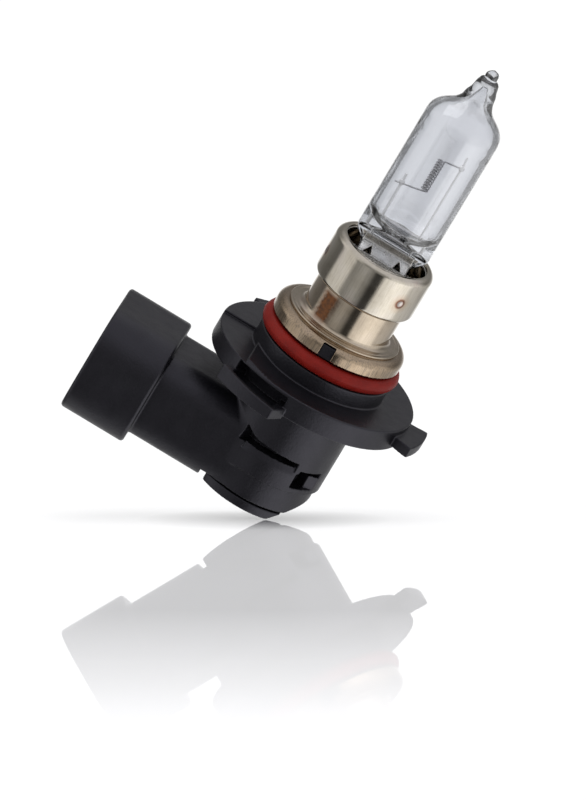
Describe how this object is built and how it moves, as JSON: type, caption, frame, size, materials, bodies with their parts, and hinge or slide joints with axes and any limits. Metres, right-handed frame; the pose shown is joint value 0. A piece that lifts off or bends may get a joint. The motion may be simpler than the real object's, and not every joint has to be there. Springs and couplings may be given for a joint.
{
  "type": "headlight bulb",
  "caption": "Single-filament halogen headlight bulb: clear glass tube with a sealed tip, stepped metal collar, red seal ring, lugged black cap and a side connector.",
  "frame": {"origin": "on the bulb's axis, in the plane of the cap flange's seating face", "axes": "+Z along the bulb's axis from the cap towards the glass tip; the connector's mouth points along -X"},
  "size_m": [0.0463, 0.0356, 0.074],
  "materials": {
    "clear_glass": "clear polished quartz glass",
    "tungsten": "dull drawn wire",
    "molybdenum": "drawn wire and rolled foil",
    "clip_steel": "bright rolled spring steel",
    "collar_steel": "satin nickel-plated steel, heat tinted at the welds",
    "seal_rubber": "satin silicone rubber",
    "cap_plastic": "fine moulded texture",
    "contact_metal": "tin-plated brass",
    "compound": "cured resin"
  },
  "bodies": {
    "root": {"glass_envelope": "clear_glass", "filament_coil": "tungsten", "lead_post_short": "molybdenum", "lead_post_tall": "molybdenum", "seal_foil_left": "molybdenum", "seal_foil_right": "molybdenum", "outer_lead_left": "molybdenum", "outer_lead_right": "molybdenum", "pinch_clip": "clip_steel", "upper_sleeve": "collar_steel", "lower_sleeve": "collar_steel", "locating_ring": "collar_steel", "seal_ring": "seal_rubber", "base_housing": "cap_plastic", "bottom_cover": "cap_plastic", "contact_front": "contact_metal", "contact_rear": "contact_metal", "sealing_compound": "compound"}
  },
  "joints": []
}
